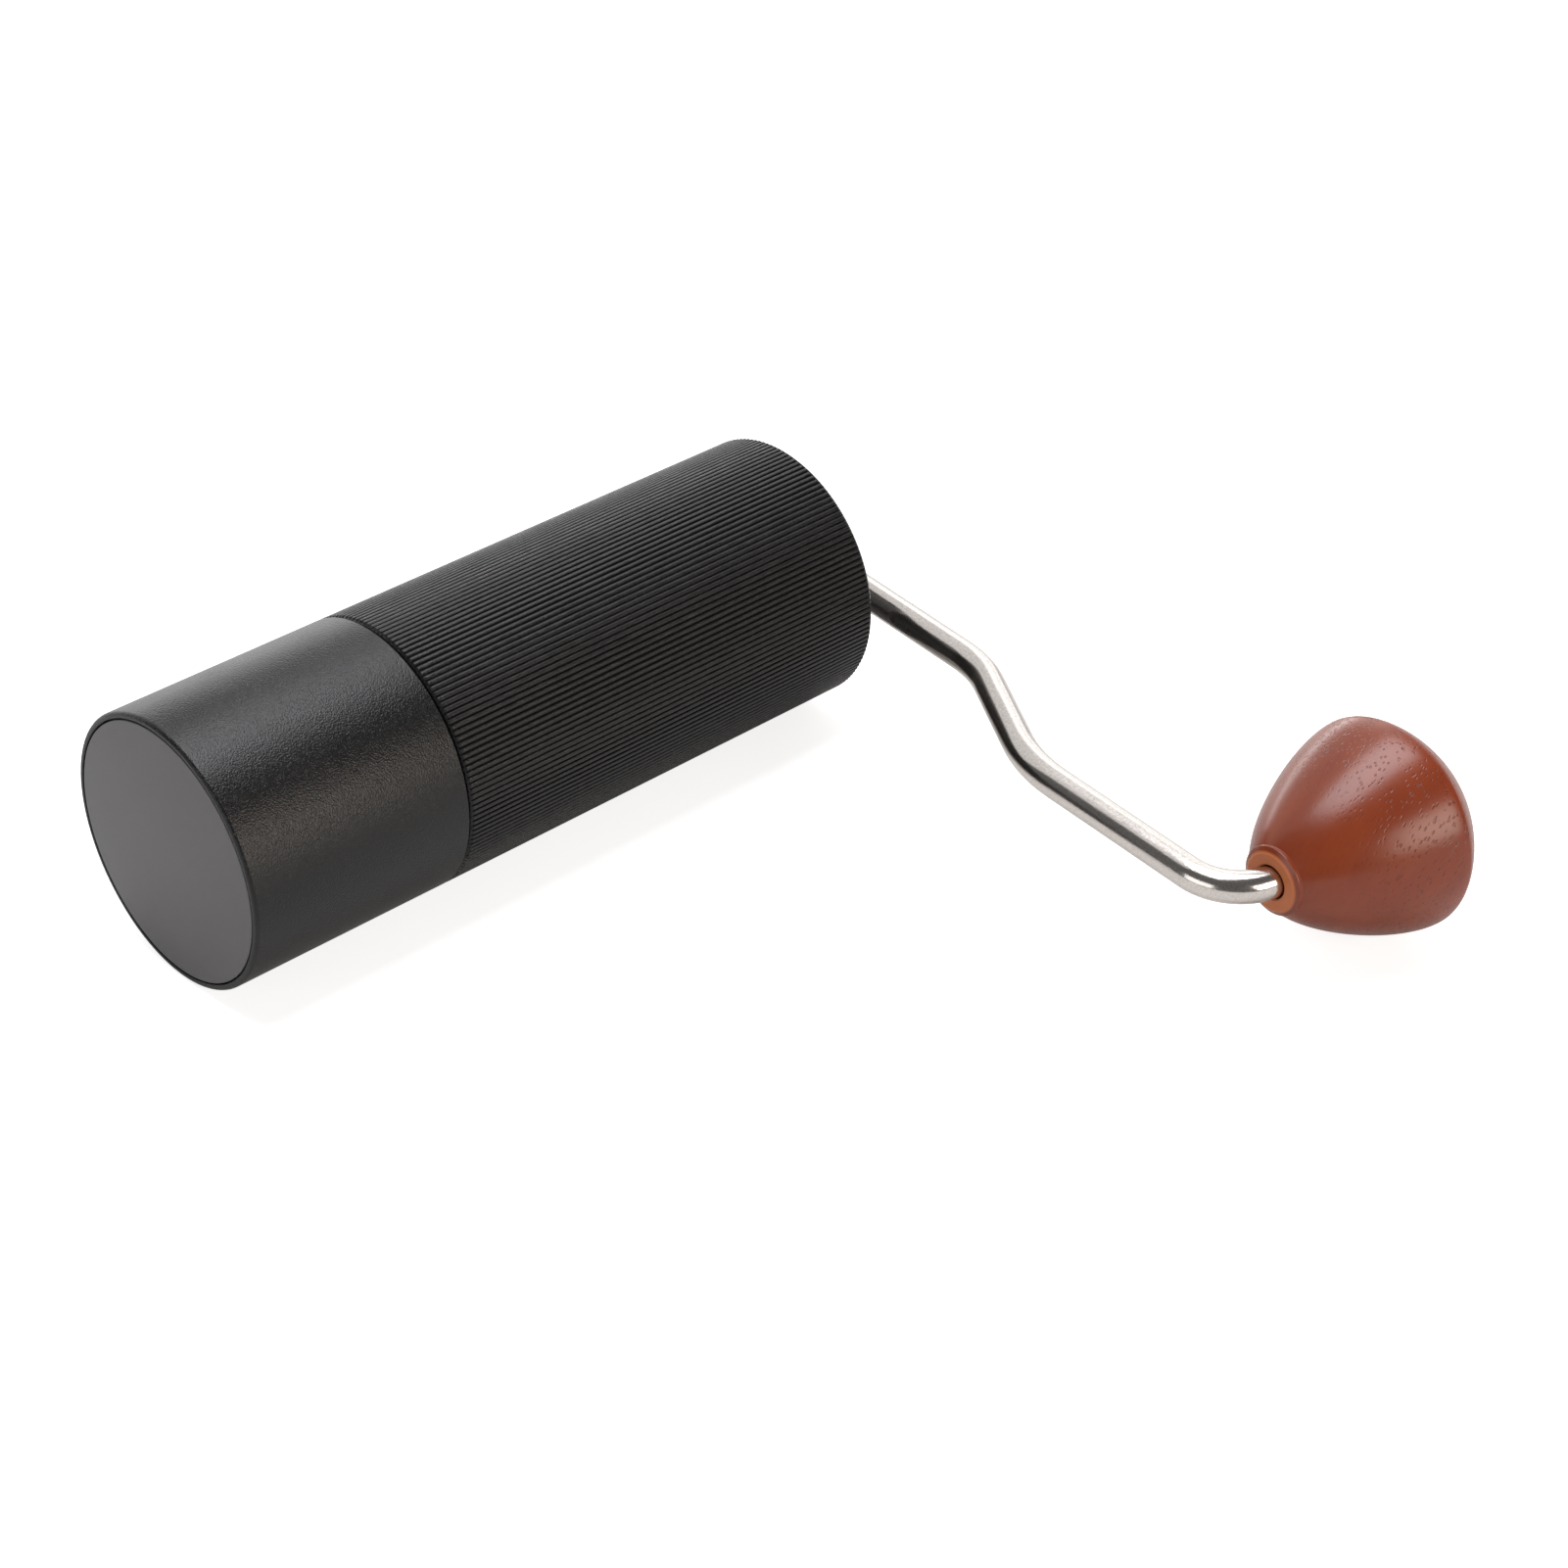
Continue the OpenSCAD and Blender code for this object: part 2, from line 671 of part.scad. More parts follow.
module drive_shaft() {
    color("#b4b6ba") difference() {
        union() {
            drum(thread_r, shaft_foot_h, cone_foot_h);
            flats(shaft_r, shaft_flats_w, plate_h, funnel_h);
            drum(shaft_r, funnel_h, upper_bearing_top + 1);
            drum(collar_d / 2, lower_bearing_top, lower_bearing_top + collar_h);
            drum(collar_d / 2, upper_bearing_h - collar_h, upper_bearing_h);
            intersection() {
                translate([0, 0, upper_bearing_top])
                    cylinder(r = hex_r, h = shaft_top_h - upper_bearing_top, $fn = 6);
                drum(shaft_r, upper_bearing_top, shaft_top_h);
            }
        }
        tube(shaft_r, thread_r - clip_depth, shaft_clip_h, shaft_clip_h + clip_t);
    }
}

module spring_washer() {
    color("#c3c5c8") tube(spring_r + spring_wire_d, shaft_r + seat_fit, spring_top_h, lower_bearing_h);
}

module shaft_circlip() {
    color("#a8aaae") clip_ring(thread_r, shaft_clip_h);
}

module click_plate() {
    color("#a2a4a8") difference() {
        drum(plate_r, plate_h, cone_foot_h);
        flats(shaft_r + run_fit, shaft_flats_w + 2 * run_fit, plate_h - over, cone_foot_h + over);
        round_ring(click_r, click_track_r, click_ball_h);
        for (i = [0:click_count - 1])
            rotate([0, 0, i * 360 / click_count]) translate([click_r, 0, plate_h])
                rotate([45, 0, 0])
                    cube([2 * click_track_r + 1, click_notch_w, click_notch_w], center = true);
    }
}

module burr_spring() {
    color("#9fa1a5") coil(spring_r, spring_wire_d, spring_foot_h, spring_top_h, spring_turns, 18, 8);
}

module adjust_dial() {
    color("#26282b") difference() {
        union() {
            drum(dial_r, dial_foot_h + dial_step_h, plate_h);
            drum(dial_boss_share * dial_r, dial_foot_h, plate_h);
        }
        drum(thread_r + run_fit, dial_foot_h - over, plate_h + over);
        translate([click_r, 0, click_spring_foot]) cylinder(r = click_track_r, h = dial_h);
        for (i = [0:dial_notches - 1])
            rotate([0, 0, (i + 0.5) * 360 / dial_notches]) translate([dial_r + notch_set, 0, dial_foot_h])
                cylinder(r = notch_r, h = dial_h + over, $fn = 16);
    }
}

module click_ball() {
    color("#d4d6d9") translate([click_r, 0, click_ball_h]) sphere(r = click_ball_d / 2, $fn = 24);
}

module click_spring() {
    color("#9fa1a5") translate([click_r, 0, 0])
        coil(
            0.3 * click_ball_d, click_wire_d, click_spring_foot,
            click_ball_h - 0.4 * click_ball_d, click_turns, 12, 6
        );
}

// crank

// straight length of rod drawn flat, from point p along heading a, running a little into the bends
module rod_run(p, a, l, before, after) {
    translate([p[0], p[1], 0]) rotate([0, 0, a]) rotate([0, 90, 0])
        translate([0, 0, -before]) cylinder(r = rod_r, h = l + before + after);
}

// bend of rod drawn flat, from point p on heading a, turning by turn degrees
module rod_bend(p, a, turn, r) {
    side = sign(turn);
    translate([p[0] - side * r * sin(a), p[1] + side * r * cos(a), 0])
        rotate([0, 0, side > 0 ? a - 90 : a + 90 + turn])
            rotate_extrude(angle = abs(turn)) translate([r, 0]) circle(r = rod_r + bend_swell);
}

module crank_rod() {
    end_l = rod_end_h - knob_bend_h;
    corner = [crank_r, knob_bend_h];
    p = [
        [0, rod_foot_h], [0, arm_h], [first_bend_r, first_bend_h], [second_bend_r, second_bend_h],
        corner, corner + end_l * [sin(arm_fall), cos(arm_fall)]
    ];
    heading = [90, -arm_fall, -drop_fall, -arm_fall, 90 - arm_fall];
    bend = [0, hub_bend, first_bend, second_bend, knob_bend, 0];
    turn = [0, for (i = [1:4]) heading[i] - heading[i - 1], 0];
    back = [for (i = [0:5]) bend[i] * tan(abs(turn[i]) / 2)];
    rotate([90, 0, 0]) {
        for (i = [0:4])
            rod_run(
                p[i] + back[i] * [cos(heading[i]), sin(heading[i])], heading[i],
                norm(p[i + 1] - p[i]) - back[i] - back[i + 1], i > 0 ? bend_lap : 0, i < 4 ? bend_lap : 0
            );
        for (i = [1:4])
            rod_bend(
                p[i] - back[i] * [cos(heading[i - 1]), sin(heading[i - 1])], heading[i - 1], turn[i], bend[i]
            );
    }
}

module crank_arm() {
    color("#c9c6c4") at_arm() difference() {
        crank_rod();
        pin_bore(hub_pin_d / 2, hub_d);
        on_knob_axis() drum(screw_d / 2, screw_foot_h, rod_end_h + over);
    }
}

module pin_bore(r, l) {
    translate([0, l / 2, hub_pin_h]) rotate([90, 0, 0]) cylinder(r = r, h = l);
}

module crank_hub() {
    color("#b4b6ba") at_arm() difference() {
        drum(hub_r, hub_foot_h, hub_top_h);
        rotate([0, 0, -arm_tilt]) translate([0, 0, hub_foot_h - over])
            cylinder(r = hex_r + run_fit / cos(30), h = shaft_top_h - hub_foot_h + over, $fn = 6);
        drum(rod_r, rod_foot_h, hub_top_h + over);
        pin_bore(hub_pin_d / 2, hub_d + 2 * over);
        tube(hub_r + over, hub_r - clip_depth, hub_clip_h, hub_clip_h + clip_t);
    }
}

module hub_pin() {
    color("#9fa1a5") at_arm() pin_bore(hub_pin_d / 2, hub_d - 2 * pin_inset);
}

module hub_circlip() {
    color("#a8aaae") at_arm() clip_ring(hub_r, hub_clip_h);
}

module knob_washer() {
    color("#c3c5c8") at_knob() tube(knob_washer_d / 2, screw_d / 2, rod_end_h, rod_end_h + knob_washer_t);
}

module knob_screw() {
    head_foot = rod_end_h + knob_washer_t;
    color("#a8aaae") at_knob() difference() {
        union() {
            drum(screw_d / 2, screw_foot_h, head_foot);
            drum(screw_head_d / 2, head_foot, head_foot + screw_head_t);
        }
        translate([0, 0, head_foot + 0.4 * screw_head_t])
            cylinder(r = 0.3 * screw_head_d, h = screw_head_t, $fn = 6);
    }
}

// knob

function bezier(a, b, c, d, t) =
    pow(1 - t, 3) * a + 3 * pow(1 - t, 2) * t * b + 3 * (1 - t) * t * t * c + pow(t, 3) * d;

knob_steps = 12;
neck_r = knob_neck_d / 2;
flare_l = knob_wide_h - knob_neck_h;
flare_points = [for (i = [0:knob_steps]) bezier(
    [neck_r, knob_neck_h],
    [neck_r + flare_fullness * (knob_r - neck_r), knob_neck_h + flare_place * flare_l],
    [knob_r, knob_wide_h - wide_softness * flare_l],
    [knob_r, knob_wide_h], i / knob_steps
)];
dome_points = [for (i = [1:knob_steps]) bezier(
    [knob_r, knob_wide_h], [knob_r, knob_wide_h + dome_softness * (knob_end_h - knob_wide_h)],
    [dome_fullness * knob_r, knob_end_h], [0, knob_end_h], i / knob_steps
)];

module knob_blank() {
    collar = [
        [0, knob_mouth_h], [knob_face_d / 2, knob_mouth_h],
        [knob_ring_d / 2, knob_ring_top], [neck_r, knob_ring_top]
    ];
    rotate_extrude() polygon(concat(collar, flare_points, dome_points));
}

module wood_knob() {
    color("#7d3a22") at_knob() difference() {
        knob_blank();
        drum(knob_hole_r, knob_mouth_h - over, bushing_foot_h);
        drum(bushing_r + seat_fit, bushing_foot_h, rod_end_h);
        drum(knob_bore_d / 2, bushing_top_h, knob_end_h + over);
    }
}

module knob_bushing() {
    color("#b08a3e") at_knob() tube(bushing_r, rod_r + run_fit, bushing_foot_h, bushing_top_h);
}

module knob_cap() {
    color("#7d3a22") at_knob() intersection() {
        knob_blank();
        drum(knob_bore_d / 2 - seat_fit, cap_foot_h, knob_end_h + over);
    }
}

// lid

module hopper_lid() {
    color("#202022") difference() {
        drum(lid_r, lid_foot_h, lid_foot_h + lid_t);
        drum(hub_r + free_gap, lid_foot_h - over, lid_foot_h + lid_t + over);
        round_ring(lid_seal_mid_r, lid_seal_d / 2, lid_seal_h);
        tube(lid_r + over, lid_seal_mid_r, lid_seal_h - lid_seal_d / 2, lid_seal_h + lid_seal_d / 2);
    }
}

module lid_seal() {
    color("#111112") round_ring(lid_seal_mid_r, lid_seal_d / 2, lid_seal_h);
}

// cup

module cup_gasket() {
    color("#111112") tube(gasket_r, gasket_in_r, cup_h, cup_h + gasket_t);
}

module cup_o_ring() {
    color("#111112") round_ring(cup_ring_mid_r, cup_ring_d / 2, cup_ring_mid_h);
}

module grounds_cup() {
    color("#1c1c1e") difference() {
        rotate_extrude() difference() {
            square([body_r, cup_h]);
            difference() {
                translate([body_r - cup_round, -over]) square([cup_round + over, cup_round + over]);
                translate([body_r - cup_round, cup_round]) circle(r = cup_round, $fn = 32);
            }
        }
        edge_cut(body_r, cup_chamfer, cup_h, 1);
        drum(disc_r + base_disc_gap, -over, base_disc_t);
        drum(cup_bore_r, base_disc_t + cup_floor_t, cup_h + over);
    }
}

module base_disc() {
    color("#6b696b") drum(disc_r, 0, base_disc_t);
}

lay_down() {
    body_sleeve();
    burr_housing();
    ring_burr();
    burr_snap_ring();
    lower_bridge();
    hopper_liner();
    upper_bridge();
    bridge_snap_ring();
    lower_bearing_outer();
    upper_bearing_outer();
    cup_gasket();
    cup_o_ring();
    drive_shaft();
    lower_bearing_inner();
    upper_bearing_inner();
    spring_washer();
    shaft_circlip();
    lower_bearing_balls();
    lower_bearing_cage();
    upper_bearing_balls();
    upper_bearing_cage();
    cone_burr();
    click_plate();
    burr_spring();
    adjust_dial();
    click_ball();
    click_spring();
    crank_arm();
    crank_hub();
    hub_pin();
    hub_circlip();
    knob_washer();
    knob_screw();
    wood_knob();
    knob_bushing();
    knob_cap();
    hopper_lid();
    lid_seal();
    grounds_cup();
    base_disc();
}
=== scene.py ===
from math import asin, cos, hypot, pi, radians, sin, tan

import bpy
from mathutils import Matrix, Vector


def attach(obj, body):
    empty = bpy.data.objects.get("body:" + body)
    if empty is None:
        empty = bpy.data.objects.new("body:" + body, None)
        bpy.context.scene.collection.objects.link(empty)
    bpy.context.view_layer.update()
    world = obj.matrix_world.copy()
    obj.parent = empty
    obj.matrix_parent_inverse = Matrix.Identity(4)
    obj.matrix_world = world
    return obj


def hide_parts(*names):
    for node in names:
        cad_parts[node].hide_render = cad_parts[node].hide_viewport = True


# Hand crank coffee grinder lying on its side: +Y runs from the base to the crank, +X to the crank's side.

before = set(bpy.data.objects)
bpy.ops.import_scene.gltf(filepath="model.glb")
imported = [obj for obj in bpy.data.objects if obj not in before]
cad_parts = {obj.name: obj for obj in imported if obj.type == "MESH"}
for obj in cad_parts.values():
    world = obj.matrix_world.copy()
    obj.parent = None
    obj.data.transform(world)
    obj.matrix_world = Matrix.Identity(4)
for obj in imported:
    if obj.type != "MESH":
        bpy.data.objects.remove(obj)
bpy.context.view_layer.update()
print("frame loaded:", len(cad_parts), "nodes")

mm = 0.001
upWay = Vector((0, 1, 0))
upright = (Vector((0, 0, 0)), upWay, Vector((1, 0, 0)))  # an axis: its origin, its way, and the way across it
weldGap = 0.002 * mm  # points nearer than this become one


def deselectAll():
    bpy.ops.object.select_all(action="DESELECT")


def deselectMesh(piece):
    for part in (piece.data.polygons, piece.data.edges, piece.data.vertices):
        part.foreach_set("select", [False] * len(part))


def startPoint(name, at):
    # a plane merged to one loose point, which the profile is then extruded from
    deselectAll()
    bpy.ops.mesh.primitive_plane_add(size=mm, location=at)
    piece = bpy.context.object
    piece.name = piece.data.name = name
    bpy.ops.object.mode_set(mode="EDIT")
    bpy.ops.mesh.select_mode(type="VERT")
    bpy.ops.mesh.select_all(action="SELECT")
    bpy.ops.mesh.merge(type="CENTER")
    return piece


def extrudeBy(step):
    bpy.ops.mesh.extrude_region_move(TRANSFORM_OT_translate={"value": tuple(step)})


def closeUp():
    # welds the seam and the poles, then turns every face outwards
    bpy.ops.mesh.select_all(action="SELECT")
    bpy.ops.mesh.remove_doubles(threshold=weldGap)
    bpy.ops.mesh.dissolve_degenerate(threshold=weldGap / 2)
    bpy.ops.mesh.normals_make_consistent(inside=False)
    bpy.ops.object.mode_set(mode="OBJECT")


def applyPlace(piece, smoothAngle):
    deselectAll()
    piece.select_set(True)
    bpy.context.view_layer.objects.active = piece
    bpy.ops.object.transform_apply(location=True, rotation=True, scale=True)
    bpy.ops.object.shade_smooth_by_angle(angle=radians(smoothAngle))


def turnOnLathe(name, profile, steps, axis=upright, angle=2 * pi):
    # profile: points of (radius, height) in mm, spun round the axis
    origin, along, across = axis
    line = [origin + (across * radius + along * height) * mm for radius, height in profile]
    piece = startPoint(name, line[0])
    for last, point in zip(line, line[1:]):
        extrudeBy(point - last)
    bpy.ops.mesh.select_all(action="SELECT")
    bpy.ops.mesh.spin(steps=steps, angle=angle, center=origin, axis=along)
    return piece


def arcPoints(centre, radius, start, end, count):
    # points on a fillet, from the start to the end angle in degrees
    turns = [radians(start + (end - start) * i / count) for i in range(count + 1)]
    return [(centre[0] + radius * cos(a), centre[1] + radius * sin(a)) for a in turns]


def curvePoints(a, b, c, d, count):
    # points on a four-point curve, leaving out the first
    points = []
    for i in range(1, count + 1):
        t = i / count
        weights = ((1 - t) ** 3, 3 * (1 - t) ** 2 * t, 3 * (1 - t) * t * t, t ** 3)
        points.append(tuple(sum(w * p[k] for w, p in zip(weights, (a, b, c, d))) for k in (0, 1)))
    return points


def hexColour(code):
    parts = [int(code[i:i + 2], 16) / 255 for i in (1, 3, 5)]
    return [p / 12.92 if p <= 0.04045 else ((p + 0.055) / 1.055) ** 2.4 for p in parts] + [1]


def addNode(tree, kind, settings=None, links=None):
    # settings are sockets by name or number, or else the node's own properties
    node = tree.nodes.new("ShaderNode" + kind)
    for key, value in (settings or {}).items():
        if isinstance(key, int) or key in node.inputs:
            node.inputs[key].default_value = value
        else:
            setattr(node, key, value)
    for key, source in (links or {}).items():
        tree.links.new(source, node.inputs[key])
    return node


def newMaterial(name):
    material = bpy.data.materials.new(name)
    material.use_nodes = True
    tree = material.node_tree
    tree.nodes.clear()
    return material, tree


def finishMaterial(tree, shader):
    addNode(tree, "OutputMaterial", links={"Surface": shader.outputs[0]})


def ramp(tree, source, low, high, fromValue, toValue):
    # runs from one colour to another between two values of a pattern
    mapped = addNode(tree, "MapRange", {"From Min": fromValue, "From Max": toValue}, {"Value": source})
    return addNode(
        tree, "Mix", {"data_type": "RGBA", 6: hexColour(low), 7: hexColour(high)}, {0: mapped.outputs[0]}
    ).outputs[2]


broadPatch = 14.0  # mm, size of the patches over which a finish turns a little duller or brighter
noiseMiddle = (0.3, 0.7)  # the part of a noise's range that its values mostly fall in


def coatMaterial(name, low, high, roughness, grain, bump, metallic=0.0, ior=1.5, spread=0.06):
    # fine even grain: grain is its size in mm, and bump its height in mm. Blasted, ground and moulded skins
    # have a grain of about 0.05 mm, too fine to show, so each is drawn as coarse and deep as it needs to show
    least, most = noiseMiddle
    material, tree = newMaterial(name)
    place = addNode(tree, "TexCoord").outputs["Object"]
    fine = addNode(tree, "TexNoise", {"Scale": 1 / (grain * mm), "Detail": 1.0}, {"Vector": place})
    broad = addNode(tree, "TexNoise", {"Scale": 1 / (broadPatch * mm), "Detail": 3.0}, {"Vector": place})
    colour = ramp(tree, fine.outputs[0], low, high, least, most)
    rough = addNode(
        tree, "MapRange",
        {"From Min": least, "From Max": most, "To Min": roughness - spread, "To Max": roughness + spread},
        {"Value": broad.outputs[0]},
    )
    relief = addNode(tree, "Bump", {"Strength": 1.0, "Distance": bump * mm}, {"Height": fine.outputs[0]})
    shader = addNode(
        tree, "BsdfPrincipled", {"Metallic": metallic, "IOR": ior},
        {"Base Color": colour, "Roughness": rough.outputs[0], "Normal": relief.outputs[0]},
    )
    finishMaterial(tree, shader)
    return material


def nodeMaterials(material, *names):
    for name in names:
        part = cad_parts[name]
        if not part.data.materials:
            part.data.materials.append(material)
        for place in part.material_slots:
            place.material = material


# anodised aluminium, bead blasted before it was dyed: a soft black with a fine sparkle
blackAnodised = coatMaterial(
    "blackAnodisedAluminium", "#0b0b0c", "#141314", 0.31, grain=0.3, bump=0.11, ior=1.43, spread=0.02
)

# satin lacquered plate: an even mid grey, smoother than the cup round it
greyPlate = coatMaterial(
    "satinGreyPlate", "#646264", "#6a686a", 0.42, grain=0.22, bump=0.001, ior=1.45, spread=0.02
)

# stainless steel rod, drawn and polished: bright with fine broken glints
polishedSteel = coatMaterial(
    "polishedStainlessSteel", "#c9c2bd", "#dcd6d1", 0.17, grain=0.35, bump=0.012, metallic=1.0, spread=0.03
)

# turned and ground steel of the shaft and hub: greyer and duller than the rod
groundSteel = coatMaterial(
    "groundSteel", "#a3a4a7", "#b8b9bc", 0.3, grain=0.5, bump=0.003, metallic=1.0, spread=0.08
)

# hardened tool steel of the burrs: dark grey with a slight sheen
toolSteel = coatMaterial(
    "hardenedToolSteel", "#77797d", "#8d8f93", 0.34, grain=0.4, bump=0.004, metallic=1.0, spread=0.08
)

# bearing steel, ground and lapped: nearly a mirror
bearingSteel = coatMaterial(
    "bearingSteel", "#cfd1d4", "#dcdee0", 0.12, grain=0.6, bump=0.001, metallic=1.0, spread=0.03
)

# spring wire and clips, tempered: a blued grey
springSteel = coatMaterial(
    "springSteel", "#85878b", "#9c9ea2", 0.28, grain=0.3, bump=0.002, metallic=1.0, spread=0.06
)

# machined brass of the knob's bushing and the bearing cages: yellow and lightly dulled
machinedBrass = coatMaterial(
    "machinedBrass", "#a5803a", "#bd9850", 0.26, grain=0.5, bump=0.002, metallic=1.0, spread=0.06
)

# moulded acetal of the dial: a matt black with a faint skin
mouldedAcetal = coatMaterial("mouldedAcetal", "#1d1f21", "#26282a", 0.5, grain=0.35, bump=0.004, ior=1.48)

# black anodised castings of the housing and bridges: greyer and coarser than the cup
darkCasting = coatMaterial(
    "darkAnodisedCasting", "#232325", "#2f2f31", 0.45, grain=0.5, bump=0.008, ior=1.46
)

# nitrile rubber of the seals: dead matt
nitrileRubber = coatMaterial("nitrileRubber", "#101011", "#191919", 0.7, grain=0.3, bump=0.006)

# clear anodised liner of the hopper: pale and satin
clearAnodised = coatMaterial(
    "clearAnodisedAluminium", "#b3b5b8", "#c2c4c7", 0.34, grain=0.3, bump=0.002, metallic=1.0, spread=0.05
)


wood = {
    "dark": "#7d341a", "light": "#853a1d", "roughness": 0.27,
    "figure": 5.0,  # mm across one cloud of the stain
    "stainRange": (0.35, 0.65),
    # the grain is turned across the knob, and drawn out along it
    "grainTurn": radians(45), "grainStretch": 3.2,
    # real pores are 0.2 mm wide, too fine to show, so these are drawn half as wide again
    "poreSpacing": 0.6, "poreDepth": 0.034, "poreColour": "#662511", "poreEdge": 0.36, "poreBottom": 0.12,
    # mm over the end face between which the pores open up, and how much of them shows at the neck
    "poresFrom": 8.0, "poresFull": 19.0, "neckPores": 0.15,
    # mm over the end face between which the painted light on the end face round the hole fades out into the
    # stain: a lighter orange stands in for the light that face catches, and the face is rougher
    "paintedLightColour": "#c06c3c", "endFaceRoughness": 0.5, "paintedLightTo": 0.1, "paintedLightEnd": 0.35,
}


def woodMaterial(name, timber, axis, mouth):
    # stained and lacquered hardwood: warm red brown, with short open pores that show where the light falls,
    # and painted light on the end face round the hole, which is coloured a lighter orange for the light it
    # catches
    origin, along, _ = axis
    material, tree = newMaterial(name)
    place = addNode(tree, "TexCoord").outputs["Object"]
    turned, drawnOut = (timber["grainTurn"], 0, 0), (1, timber["grainStretch"], 1)
    grainWay = addNode(
        tree, "Mapping", {"vector_type": "TEXTURE", "Rotation": turned, "Scale": drawnOut}, {"Vector": place}
    ).outputs[0]
    figure = addNode(
        tree, "TexNoise", {"Scale": 1 / (timber["figure"] * mm), "Detail": 3.0}, {"Vector": grainWay}
    ).outputs[0]
    # each cell holds one pore; they close up towards the neck
    cell = addNode(
        tree, "TexVoronoi", {"Scale": 1 / (timber["poreSpacing"] * mm)}, {"Vector": grainWay}
    ).outputs[0]
    edge, bottom = timber["poreEdge"], timber["poreBottom"]
    pit = addNode(
        tree, "MapRange", {"interpolation_type": "SMOOTHSTEP", "From Min": edge, "From Max": bottom},
        {"Value": cell},
    ).outputs[0]
    height = addNode(tree, "VectorMath", {"operation": "DOT_PRODUCT", 1: along}, {0: place}).outputs["Value"]
    faceAt = origin.dot(along) + mouth * mm
    openFrom, openFull = faceAt + timber["poresFrom"] * mm, faceAt + timber["poresFull"] * mm
    wideEnd = addNode(
        tree, "MapRange", {"From Min": openFrom, "From Max": openFull, "To Min": timber["neckPores"]},
        {"Value": height},
    ).outputs[0]
    pore = addNode(tree, "Math", {"operation": "MULTIPLY"}, {0: pit, 1: wideEnd}).outputs[0]
    stain = ramp(tree, figure, timber["dark"], timber["light"], *timber["stainRange"])
    lacquered = addNode(
        tree, "Mix", {"data_type": "RGBA", 7: hexColour(timber["poreColour"])}, {0: pore, 6: stain}
    ).outputs[2]
    # painted light: the end face round the hole is coloured a lighter orange for the light it catches, and
    # made rougher
    paintedLightEndAt, paintedLightAt = faceAt + timber["paintedLightEnd"] * mm, faceAt + timber["paintedLightTo"] * mm
    paintedLightMask = addNode(
        tree, "MapRange", {"From Min": paintedLightEndAt, "From Max": paintedLightAt}, {"Value": height}
    ).outputs[0]
    colour = addNode(
        tree, "Mix", {"data_type": "RGBA", 7: hexColour(timber["paintedLightColour"])}, {0: paintedLightMask, 6: lacquered}
    ).outputs[2]
    rough = addNode(
        tree, "MapRange", {"To Min": timber["roughness"], "To Max": timber["endFaceRoughness"]}, {"Value": paintedLightMask}
    ).outputs[0]
    relief = addNode(
        tree, "Bump", {"Strength": 1.0, "Distance": -timber["poreDepth"] * mm}, {"Height": pore}
    ).outputs[0]
    shader = addNode(
        tree, "BsdfPrincipled", {"IOR": 1.5}, {"Base Color": colour, "Roughness": rough, "Normal": relief}
    )
    finishMaterial(tree, shader)
    return material


# every piece's sizes are in mm
cup = {
    "radius": 26.0, "rim": 45.95, "bore": 23.7, "floor": 4.0, "edgeRound": 0.8, "rimChamfer": 0.3,
    "recess": 24.8, "recessDepth": 2.0, "recessChamfer": 0.12, "floorFillet": 2.0, "steps": 192,
}
disc = {"radius": 24.5, "thickness": 2.0, "edgeRound": 0.2}


def makeCup():
    c = cup
    low = arcPoints((c["radius"] - c["edgeRound"], c["edgeRound"]), c["edgeRound"], -90, 0, 8)
    fillet = c["floorFillet"]
    inside = arcPoints((c["bore"] - fillet, c["floor"] + fillet), fillet, 0, -90, 6)
    piece = turnOnLathe("groundsCup", [
        (0, c["recessDepth"]), (c["recess"], c["recessDepth"]), (c["recess"], c["recessChamfer"]),
        (c["recess"] + c["recessChamfer"], 0), *low,
        (c["radius"], c["rim"] - c["rimChamfer"]), (c["radius"] - c["rimChamfer"], c["rim"]),
        (c["bore"] + c["rimChamfer"], c["rim"]), (c["bore"], c["rim"] - c["rimChamfer"]),
        *inside, (0, c["floor"]),
    ], c["steps"])
    closeUp()
    applyPlace(piece, 30)
    piece.data.materials.append(blackAnodised)
    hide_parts("grounds_cup")
    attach(piece, "cup")


def makeDisc():
    edge = disc["edgeRound"]
    front = arcPoints((disc["radius"] - edge, edge), edge, -90, 0, 5)
    piece = turnOnLathe("baseDisc", [
        (0, 0), *front, (disc["radius"], disc["thickness"]), (0, disc["thickness"]),
    ], cup["steps"])
    closeUp()
    applyPlace(piece, 40)
    piece.data.materials.append(greyPlate)
    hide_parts("base_disc")
    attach(piece, "cup")


makeCup()
makeDisc()
print("cup and disc made")


body = {
    "radius": 26.0, "foot": 46.35, "top": 144.0, "footChamfer": 0.5, "topChamfer": 0.8,
    "ribs": 148, "runOutDepth": 0.4,  # how deep the grooves still are where they run out at the chamfers
    # depth of the groove at each of the lines that one rib is drawn with, from groove to groove
    "ribDepths": [0.5, 0.42, 0.07, 0.02, 0.0, 0.0, 0.0, 0.02, 0.07, 0.42],
    # each a radius, and then the height or heights where it ends
    "lidRecess": (23.3, 139.0), "housingBore": (23.4, 74.0), "gasketSeat": (24.82, 47.15),
    "snapGroove": (23.1, 127.5, 128.7), "hopperBore": 22.0, "lipChamfer": 0.3,
    "faceBand": 0.05, "lineBand": 0.02,  # how near a point must be to the outer face and to its line
}


